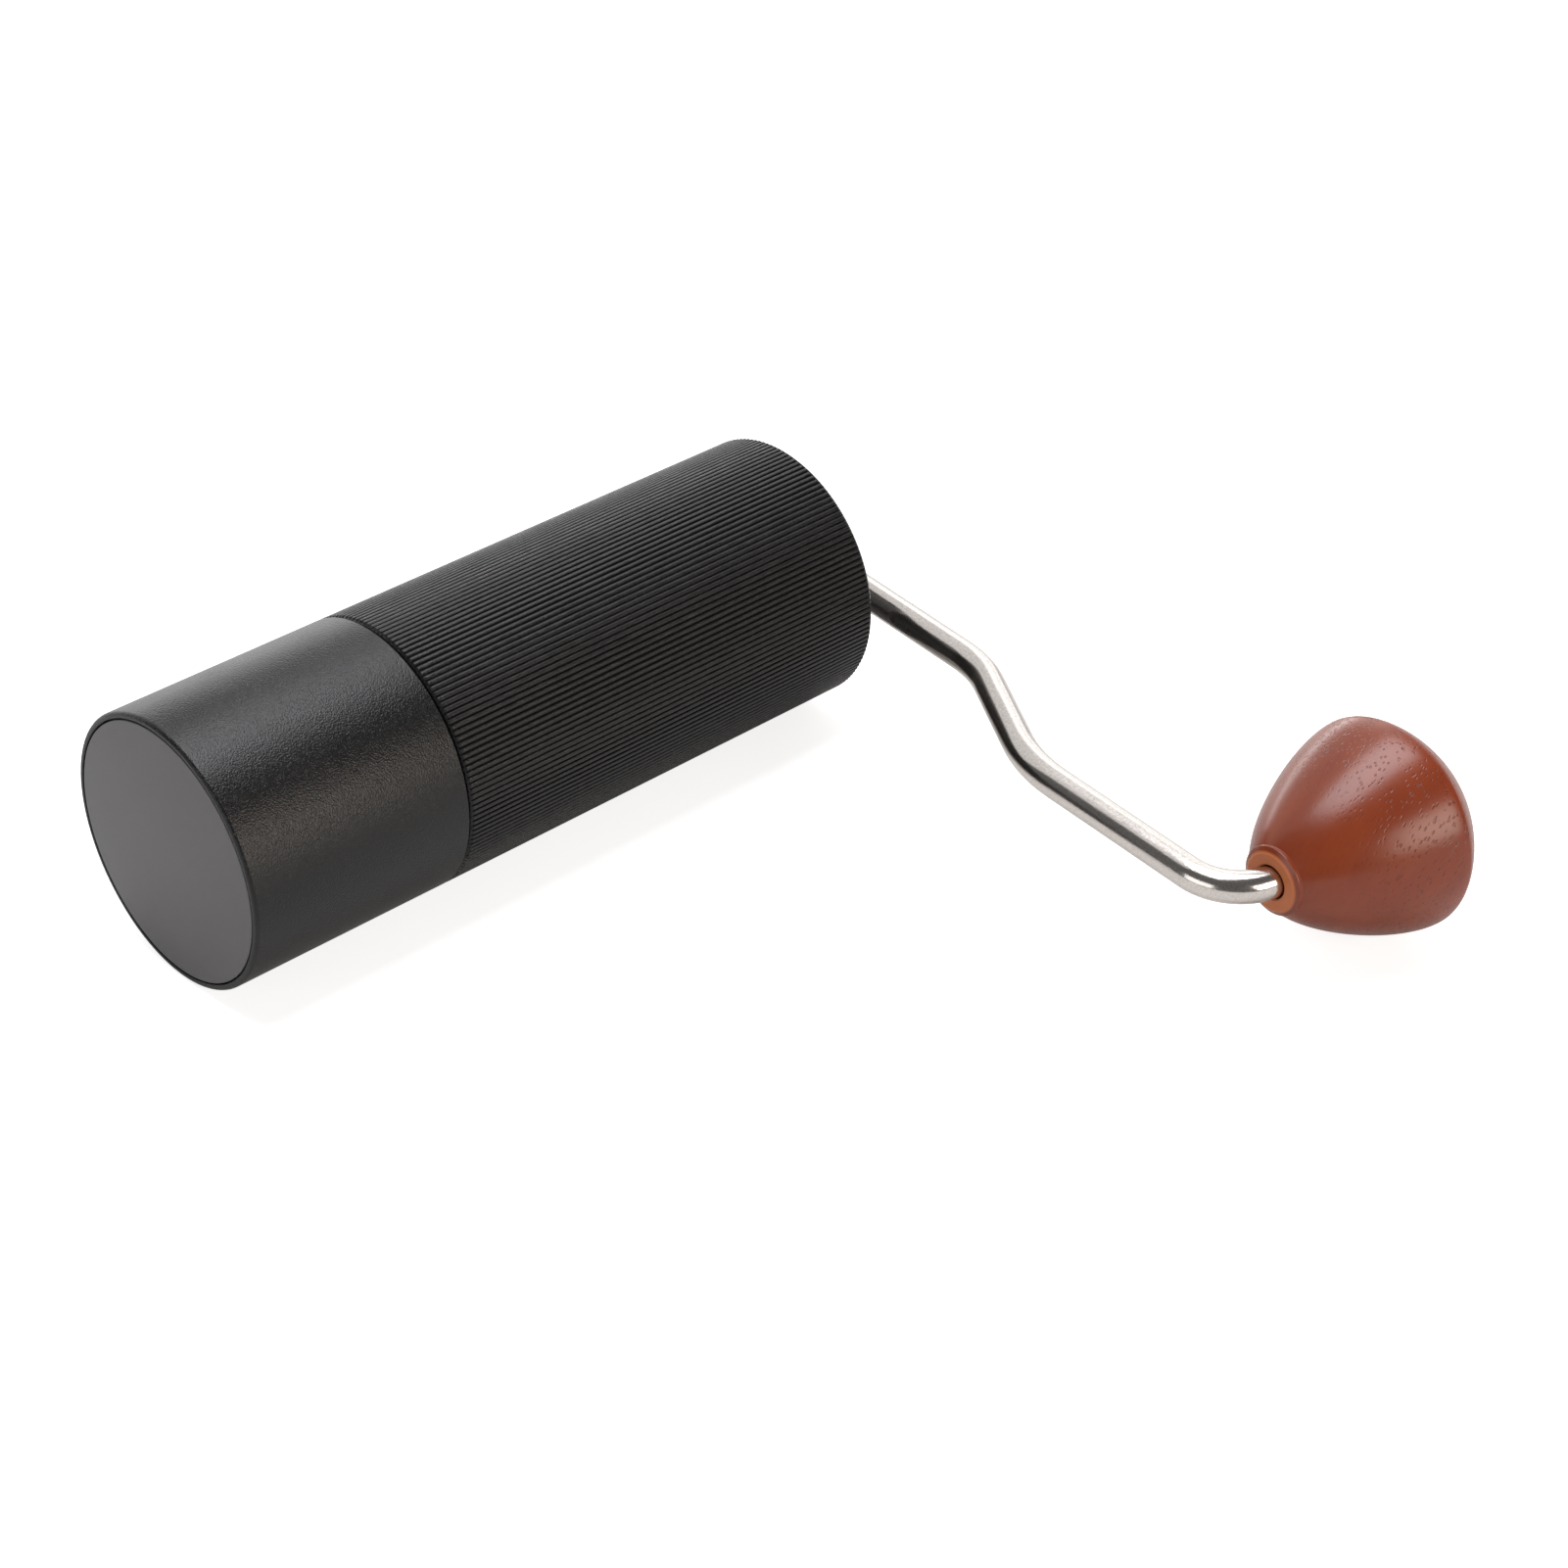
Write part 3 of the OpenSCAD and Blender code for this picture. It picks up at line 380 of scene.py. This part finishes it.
def makeBody():
    b = body
    r, foot, top, deep = b["radius"], b["foot"], b["top"], b["runOutDepth"]
    ribFoot, ribTop = foot + b["footChamfer"], top - b["topChamfer"]
    recess, ledge = b["lidRecess"]
    bore, (groove, low, high) = b["hopperBore"], b["snapGroove"]
    housing, shoulder = b["housingBore"]
    seat, seatTop = b["gasketSeat"]
    outline = [
        (r - b["footChamfer"], foot), (r - deep, ribFoot - deep), (r, ribFoot),
        (r, ribTop), (r - deep, ribTop + deep), (r - b["topChamfer"], top),
        (recess + b["lipChamfer"], top), (recess, top - b["lipChamfer"]), (recess, ledge),
        (bore, ledge), (bore, high), (groove, high), (groove, low), (bore, low), (bore, shoulder),
        (housing, shoulder), (housing, seatTop), (seat, seatTop), (seat, foot),
        (r - b["footChamfer"], foot),
    ]
    pitch = 2 * pi / b["ribs"]
    lines = len(b["ribDepths"])
    piece = turnOnLathe("bodySleeve", outline, lines, angle=pitch)
    bpy.ops.mesh.select_all(action="SELECT")
    bpy.ops.mesh.remove_doubles(threshold=weldGap)
    # one rib: each line of its outer face is pressed in to the groove's shape
    for line, depth in enumerate([*b["ribDepths"], b["ribDepths"][0]]):
        bpy.ops.object.mode_set(mode="OBJECT")
        turn = line * pitch / lines
        way = Vector((cos(turn), 0, sin(turn)))  # spin turns +X towards +Z
        deselectMesh(piece)
        for v in piece.data.vertices:
            at = piece.matrix_world @ v.co
            out = hypot(at.x, at.z)
            across = at - Vector((0, at.y, 0)) - way * out
            v.select = out > (r - b["faceBand"]) * mm and across.length < b["lineBand"] * mm
        bpy.ops.object.mode_set(mode="EDIT")
        bpy.ops.transform.translate(value=tuple(-way * depth * mm))
    bpy.ops.mesh.select_all(action="SELECT")
    bpy.ops.mesh.spin(
        steps=b["ribs"] - 1, dupli=True, angle=2 * pi - pitch, center=(0, 0, 0), axis=(0, 1, 0)
    )
    closeUp()
    applyPlace(piece, 35)
    piece.data.materials.append(blackAnodised)
    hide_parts("body_sleeve")
    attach(piece, "body")


makeBody()
print("body made")


crank = {
    "rodRadius": 3.0, "foot": 138.0, "sides": 40,
    "fall": radians(3.3), "drop": radians(29.8), "top": 151.0,
    "bendsAt": (50.5, 78.2, 129.25),  # distances of the corners from the shaft
    "bends": (8.0, 23.5, 31.0, 10.6),  # radii of the bends, from the shaft to the knob
    "bendSteps": 20, "leastSteps": 4,  # faces along a right angle, and those that each bend has besides
    "endReach": 39.7,  # from the last corner to the rod's end, inside the knob
    # the crank lies turned down a little from +X, until its knob meets the floor
    "knobDrop": 6.0, "knobReach": 131.44,
}
crankTilt = asin(crank["knobDrop"] / crank["knobReach"])
armWay = Vector((cos(crankTilt), 0, -sin(crankTilt)))
knobWay = upWay * cos(crank["fall"]) + armWay * sin(crank["fall"])
knobAcross = armWay * cos(crank["fall"]) - upWay * sin(crank["fall"])


def crankCorners():
    # corners of the rod's centre line, as distance from the shaft and height
    c = crank
    corners = [(0, c["top"])]
    for reach, fall in zip(c["bendsAt"], (c["fall"], c["drop"], c["fall"])):
        along, height = corners[-1]
        corners.append((reach, height - tan(fall) * (reach - along)))
    return [(armWay * along + upWay * height) * mm for along, height in corners]


def makeCrankArm():
    c = crank
    corners = crankCorners()
    line = [upWay * c["foot"] * mm, *corners, corners[-1] + knobWay * c["endReach"] * mm]
    deselectAll()
    bpy.ops.mesh.primitive_circle_add(
        vertices=c["sides"], radius=c["rodRadius"] * mm, fill_type="NGON",
        location=line[0], rotation=(-pi / 2, 0, 0),
    )
    piece = bpy.context.object
    piece.name = piece.data.name = "crankRod"
    bpy.ops.object.mode_set(mode="EDIT")
    bpy.ops.mesh.select_mode(type="FACE")
    bpy.ops.mesh.select_all(action="SELECT")
    at = line[0]
    for i, radius in enumerate(c["bends"], 1):
        before = (line[i] - line[i - 1]).normalized()
        after = (line[i + 1] - line[i]).normalized()
        turn = before.angle(after)
        back = radius * mm * tan(turn / 2)
        extrudeBy(line[i] - before * back - at)
        side = before.cross(after).normalized()
        centre = line[i] - before * back + side.cross(before) * radius * mm
        steps = round(c["bendSteps"] * turn / (pi / 2)) + c["leastSteps"]
        bpy.ops.mesh.spin(steps=steps, angle=turn, center=centre, axis=-side)
        at = line[i] + after * back
    extrudeBy(line[-1] - at)
    closeUp()
    applyPlace(piece, 50)
    piece.data.materials.append(polishedSteel)
    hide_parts("crank_arm")
    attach(piece, "crank")


makeCrankArm()
print("crank rod made")


knob = {
    # heights run along the knob's axis from the corner of the crank's last bend
    "mouth": 9.2, "length": 41.5, "wideShare": 0.695, "radius": 20.0, "neckRadius": 6.45,
    "faceRadius": 5.3, "ringRadius": 6.55, "ringHeight": 1.1, "grooveWidth": 0.4,
    "holeRadius": 3.2, "holeDepth": 1.6, "bushingRadius": 4.32,
    "boreRadius": 5.6, "boreFoot": 39.5, "capFoot": 44.2, "capRadius": 5.58,
    "seamChamfer": 0.15, "edgeRound": 0.25, "steps": 160, "capSteps": 96,
    # shape of the flare: its fullness, where that lies, and how softly it meets the widest place
    "flare": (0.55, 0.24, 0.2),
    # shape of the rounded end: how softly it leaves the widest place, and its fullness
    "dome": (0.13, 0.57),
    "flarePoints": 30, "domePoints": 36,
}


def knobProfile():
    k = knob
    neck = k["mouth"] + k["ringHeight"] + k["grooveWidth"]
    wide, end = k["mouth"] + k["wideShare"] * k["length"], k["mouth"] + k["length"]
    full, rise, soft = k["flare"]
    softly, domeFull = k["dome"]
    r, low, tall = k["radius"], (k["neckRadius"], neck), wide - neck
    flare = curvePoints(
        low, (low[0] + full * (r - low[0]), neck + rise * tall), (r, wide - soft * tall), (r, wide),
        k["flarePoints"],
    )
    dome = curvePoints(
        (r, wide), (r, wide + softly * (end - wide)), (domeFull * r, end), (0, end), k["domePoints"]
    )
    return [low, *flare], dome


def splitAt(points, radius):
    # the run of points outside a radius and the run inside it, both meeting at that radius
    outside = [p for p in points if p[0] > radius]
    inside = points[len(outside):]
    a, b = outside[-1], inside[0]
    share = (a[0] - radius) / (a[0] - b[0])
    edge = (radius, a[1] + (b[1] - a[1]) * share)
    return outside, edge, inside


knobAxis = (crankCorners()[-1], knobWay, knobAcross)


def makeKnob():
    k = knob
    flare, dome = knobProfile()
    mouth, bevel, hole = k["mouth"], k["edgeRound"], k["holeRadius"]
    ringTop = mouth + k["ringHeight"]
    ringEdge = arcPoints((k["ringRadius"] - bevel, ringTop - bevel), bevel, 60, -30, 4)
    outside, edge, _ = splitAt(dome, k["boreRadius"] + k["seamChamfer"])
    piece = turnOnLathe("woodKnob", [
        (hole, mouth + bevel), (hole, mouth + k["holeDepth"]), (k["bushingRadius"], mouth + k["holeDepth"]),
        (k["bushingRadius"], k["boreFoot"]), (k["boreRadius"], k["boreFoot"]),
        (k["boreRadius"], edge[1] - k["seamChamfer"]), edge, *reversed(outside), *reversed(flare),
        (k["neckRadius"], ringTop), *ringEdge, (k["faceRadius"], mouth), (hole + bevel, mouth),
        (hole, mouth + bevel),
    ], k["steps"], knobAxis)
    closeUp()
    applyPlace(piece, 30)
    piece.data.materials.append(stainedHardwood)
    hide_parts("wood_knob")
    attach(piece, "knob")

    _, edge, inside = splitAt(dome, k["capRadius"] - k["seamChamfer"])
    cap = turnOnLathe("knobPlug", [
        (0, k["capFoot"]), (k["capRadius"], k["capFoot"]), (k["capRadius"], edge[1] - k["seamChamfer"]),
        edge, *inside,
    ], k["capSteps"], knobAxis)
    closeUp()
    applyPlace(cap, 30)
    cap.data.materials.append(stainedHardwood)
    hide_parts("knob_cap")
    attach(cap, "knob")


stainedHardwood = woodMaterial("stainedHardwood", wood, knobAxis, knob["mouth"])
makeKnob()
print("knob made")


lid = {
    "radius": 23.0, "foot": 139.0, "thickness": 3.0, "bore": 6.8, "edgeRound": 0.4,
    "sealGroove": (21.85, 0.7),  # its radius, and half its width
    "dishRadius": 20.5, "dishDepth": 0.5, "steps": 160,
}


def makeLid():
    d = lid
    r, foot, edge, dish = d["radius"], d["foot"], d["edgeRound"], d["dishDepth"]
    top, middle, (groove, half) = foot + d["thickness"], foot + d["thickness"] / 2, d["sealGroove"]
    piece = turnOnLathe("hopperLid", [
        (d["bore"], foot), (r - edge, foot), (r, foot + edge),
        (r, middle - half), (groove, middle - half), (groove, middle + half), (r, middle + half),
        *arcPoints((r - edge, top - edge), edge, 0, 90, 4),
        (d["dishRadius"], top), (d["dishRadius"] - dish, top - dish),
        (d["bore"] + edge, top - dish), (d["bore"], top - dish - edge), (d["bore"], foot),
    ], d["steps"])
    closeUp()
    applyPlace(piece, 35)
    piece.data.materials.append(blackAnodised)
    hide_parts("hopper_lid")
    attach(piece, "lid")


makeLid()
print("lid made")


# finishes of the pieces that keep the shape they came with
nodeMaterials(darkCasting, "burr_housing", "lower_bridge", "upper_bridge")
nodeMaterials(toolSteel, "ring_burr", "cone_burr")
nodeMaterials(clearAnodised, "hopper_liner")
nodeMaterials(
    groundSteel, "drive_shaft", "crank_hub", "click_plate", "spring_washer", "knob_washer", "knob_screw"
)
nodeMaterials(
    springSteel, "burr_snap_ring", "bridge_snap_ring", "shaft_circlip", "hub_circlip", "hub_pin",
    "burr_spring", "click_spring",
)
nodeMaterials(
    bearingSteel, "lower_bearing_outer", "upper_bearing_outer", "lower_bearing_inner", "upper_bearing_inner",
    "lower_bearing_balls", "upper_bearing_balls", "click_ball",
)
nodeMaterials(machinedBrass, "lower_bearing_cage", "upper_bearing_cage", "knob_bushing")
nodeMaterials(mouldedAcetal, "adjust_dial")
nodeMaterials(nitrileRubber, "cup_gasket", "cup_o_ring", "lid_seal")
nodeMaterials(blackAnodised, "grounds_cup", "body_sleeve", "hopper_lid")
nodeMaterials(greyPlate, "base_disc")
nodeMaterials(polishedSteel, "crank_arm")
nodeMaterials(stainedHardwood, "wood_knob", "knob_cap")
print("finishes given")


studio = {
    "floorHeight": -26.0, "floorRadius": 1.5, "floorSides": 96, "floorColour": "#d0cfcd",
    "floorGlow": 0.8, "floorShine": 0.16, "worldLight": 0.12,
    # metres, apart from the floor's height in mm: name, way to the lamp, distance, width, length along
    # the grinder, radiance, colour
    "lamps": [
        ("topLamp", (-0.12, 0.12, 0.98), 1.25, 0.72, 1.0, 6.4, "#fbfbff"),
        ("sideLamp", (0.93, 0.17, 0.33), 1.25, 0.58, 0.75, 5.4, "#fff4e8"),
        ("wallLamp", (-0.807, 0.174, 0.565), 1.6, 2.0, 2.4, 0.72, "#ffffff"),
        ("backLamp", (-0.55, 0.78, 0.28), 1.6, 1.1, 0.9, 0.9, "#ffffff"),
        ("lowLamp", (-0.97, 0.25, 0.03), 1.4, 0.3, 1.6, 3.2, "#ffffff"),
        ("backdropLamp", (-0.30, 0.81, 0.50), 1.9, 1.6, 1.8, 0.5, "#ffffff"),
        ("frontLamp", (0.0, -0.97, 0.24), 1.4, 1.1, 0.6, 1.6, "#ffffff"),
    ],
    "aim": (0.05, 0.09, 0.0),
}
view = {
    "place": (0.450692, -0.275583, 0.357753), "rotation": (pi / 2 - 0.586, 0, 0.820),
    "lens": 84.23, "sensor": 36.0, "nearest": 0.01, "farthest": 50,
}


def makeFloor():
    deselectAll()
    bpy.ops.mesh.primitive_circle_add(
        vertices=studio["floorSides"], radius=studio["floorRadius"], fill_type="NGON",
        location=(0, 0, studio["floorHeight"] * mm),
    )
    floor = bpy.context.object
    floor.name = "studioFloor"
    material, tree = newMaterial("studioPaper")
    paper = addNode(tree, "BsdfDiffuse", {"Color": hexColour(studio["floorColour"])})
    # what the camera sees is lifted to white; what the metal reflects is only a little lifted
    rays = addNode(tree, "LightPath")
    seen = addNode(
        tree, "Math", {"operation": "MULTIPLY_ADD", 1: studio["floorShine"]},
        {0: rays.outputs["Is Glossy Ray"], 2: rays.outputs["Is Camera Ray"]},
    )
    strength = addNode(tree, "Math", {"operation": "MULTIPLY", 1: studio["floorGlow"]}, {0: seen.outputs[0]})
    glow = addNode(tree, "Emission", links={"Strength": strength.outputs[0]})
    both = addNode(tree, "AddShader", links={0: paper.outputs[0], 1: glow.outputs[0]})
    finishMaterial(tree, both)
    floor.data.materials.append(material)


def makeWorld():
    world = bpy.data.worlds.new("studio")
    world.use_nodes = True
    tree = world.node_tree
    back = tree.nodes["Background"]
    back.inputs["Color"].default_value = (1, 1, 1, 1)
    # the camera sees it white, as it sees the floor
    rays = addNode(tree, "LightPath")
    strength = addNode(
        tree, "MapRange", {"To Min": studio["worldLight"], "To Max": 1.0},
        {"Value": rays.outputs["Is Camera Ray"]},
    )
    tree.links.new(strength.outputs[0], back.inputs["Strength"])
    bpy.context.scene.world = world


def makeLamps():
    aim = Vector(studio["aim"])
    for name, way, distance, width, length, radiance, colour in studio["lamps"]:
        light = bpy.data.lights.new(name, "AREA")
        light.shape = "RECTANGLE"
        light.size, light.size_y = width, length
        light.energy = radiance * pi * width * length  # so its size doesn't change how bright it looks
        light.color = hexColour(colour)[:3]
        lamp = bpy.data.objects.new(name, light)
        way = Vector(way).normalized()
        across = upWay.cross(way).normalized()
        lamp.location = aim + way * distance
        lamp.rotation_euler = Matrix((across, way.cross(across), way)).transposed().to_euler()
        bpy.context.scene.collection.objects.link(lamp)


def makeCamera():
    camera = bpy.data.objects.new("camera", bpy.data.cameras.new("camera"))
    camera.data.lens, camera.data.sensor_width = view["lens"], view["sensor"]
    camera.data.clip_start, camera.data.clip_end = view["nearest"], view["farthest"]
    camera.location, camera.rotation_euler = view["place"], view["rotation"]
    bpy.context.scene.collection.objects.link(camera)
    bpy.context.scene.camera = camera


makeFloor()
makeWorld()
makeLamps()
makeCamera()
bpy.context.scene.view_settings.view_transform = "Standard"
print("studio set")
